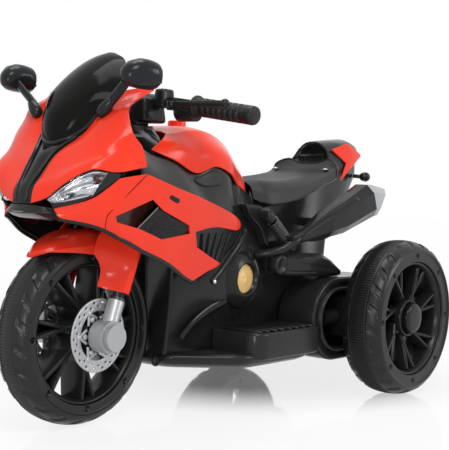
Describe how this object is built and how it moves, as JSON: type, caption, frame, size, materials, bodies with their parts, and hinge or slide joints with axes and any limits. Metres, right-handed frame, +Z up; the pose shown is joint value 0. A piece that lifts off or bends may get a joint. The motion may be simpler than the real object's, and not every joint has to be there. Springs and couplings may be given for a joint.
{
  "type": "kids electric motorbike",
  "caption": "Battery ride-on motorbike for small children: glossy red sport fairings over a black body, raked steering fork, driven rear wheels, seat and footboards.",
  "frame": {"origin": "on the floor, midway between the front and rear axles, in the middle of the width", "axes": "+X forward, +Y the rider's left, +Z up"},
  "size_m": [0.806, 0.422, 0.5079],
  "materials": {
    "red_plastic": "glossy moulded plastic",
    "black_plastic": "satin moulded plastic",
    "gloss_black": "glossy moulded plastic",
    "smoke_screen": "dark smoked screen",
    "patterned_insert": "weave-patterned insert",
    "grey_plastic": "satin moulded plastic",
    "seat_pad": "moulded seat with a fine grain",
    "tread": "moulded tread",
    "grip_rubber": "soft ribbed grip",
    "silver_paint": "silver paint",
    "black_steel": "black powder coat",
    "bright_steel": "bright steel",
    "clear_lens": "clear lens",
    "reflector": "bright reflector",
    "mirror_face": "mirror face",
    "gold_plastic": "gold plastic",
    "lamp_dark": "tinted lamp",
    "button_red": "glossy button",
    "battery_case": "plain case",
    "drive_case": "plain case"
  },
  "bodies": {
    "chassis": {"steering_head": "black_steel", "body_left": "black_plastic", "body_right": "black_plastic", "belly_pan": "black_plastic", "footboard_left": "black_plastic", "footboard_right": "black_plastic", "side_fairing_left": "red_plastic", "side_fairing_right": "red_plastic", "side_intakes": "patterned_insert", "side_grilles": "black_plastic", "engine_covers": "gold_plastic", "cowl_left": "red_plastic", "cowl_right": "red_plastic", "nose_trim": "gloss_black", "chin_panel": "grey_plastic", "windshield": "smoke_screen", "headlight_lenses": "clear_lens", "headlight_housings": "reflector", "mirror_left": "gloss_black", "mirror_right": "gloss_black", "mirror_glasses": "mirror_face", "tank_cover": "red_plastic", "knee_panels": "black_plastic", "dashboard": "grey_plastic", "seat": "seat_pad", "seat_screws": "bright_steel", "tail_cover": "black_plastic", "tail_panels": "red_plastic", "rear_indicators": "lamp_dark", "mufflers": "black_plastic", "muffler_tips": "silver_paint", "shock_springs": "black_steel", "shock_dampers": "black_steel", "axle_housing_left": "black_plastic", "axle_housing_right": "black_plastic", "swing_arms": "black_plastic", "rear_axle": "bright_steel", "drive_units": "drive_case", "battery": "battery_case", "charge_socket": "grey_plastic"},
    "steering": {"fork_yoke": "black_steel", "fork_lowers": "silver_paint", "front_axle": "bright_steel", "front_fender": "red_plastic", "handlebar": "black_steel", "grip_left": "grip_rubber", "grip_right": "grip_rubber", "switch_housings": "black_plastic"},
    "front_wheel": {"front_tyre": "tread", "front_rim": "black_plastic", "brake_discs": "silver_paint"},
    "rear_wheel_left": {"rear_tyre_left": "tread", "rear_rim_left": "black_plastic"},
    "rear_wheel_right": {"rear_tyre_right": "tread", "rear_rim_right": "black_plastic"},
    "lever_left": {"brake_lever_left": "black_steel"},
    "lever_right": {"brake_lever_right": "black_steel"},
    "pedal": {"accelerator_pedal": "black_plastic"},
    "rocker": {"direction_switch": "grey_plastic"},
    "button": {"power_button": "button_red"}
  },
  "joints": [
    {"name": "steering_turn", "type": "hinge", "parent": "chassis", "child": "steering", "pos_m": [0.278, 0, 0.125], "axis": [-0.342, 0, 0.9397], "range_deg": [-20, 20]},
    {"name": "front_wheel_roll", "type": "hinge", "parent": "steering", "child": "front_wheel", "pos_m": [0.278, 0, 0.125], "axis": [0, 1, 0], "continuous": true},
    {"name": "rear_left_roll", "type": "hinge", "parent": "chassis", "child": "rear_wheel_left", "pos_m": [-0.278, 0.175, 0.125], "axis": [0, 1, 0], "continuous": true},
    {"name": "rear_right_roll", "type": "hinge", "parent": "chassis", "child": "rear_wheel_right", "pos_m": [-0.278, -0.175, 0.125], "axis": [0, 1, 0], "continuous": true},
    {"name": "lever_left_squeeze", "type": "hinge", "parent": "steering", "child": "lever_left", "pos_m": [0.18984, 0.0824, 0.4384], "axis": [0, 0, 1], "range_deg": [0, 9], "stiffness_Nm_per_rad": 0.6},
    {"name": "lever_right_squeeze", "type": "hinge", "parent": "steering", "child": "lever_right", "pos_m": [0.18984, -0.0824, 0.4384], "axis": [0, 0, -1], "range_deg": [0, 9], "stiffness_Nm_per_rad": 0.6},
    {"name": "pedal_press", "type": "hinge", "parent": "chassis", "child": "pedal", "pos_m": [-0.01496, -0.09546, 0.1298], "axis": [0, 1, 0], "range_deg": [0, 8], "stiffness_Nm_per_rad": 1.2},
    {"name": "rocker_tilt", "type": "hinge", "parent": "chassis", "child": "rocker", "pos_m": [0.237, 0, 0.388], "axis": [0, 1, 0], "range_deg": [-7, 7]},
    {"name": "button_press", "type": "slide", "parent": "chassis", "child": "button", "axis": [0, 0, -1], "range_m": [0, 0.002], "stiffness_N_per_m": 300}
  ]
}
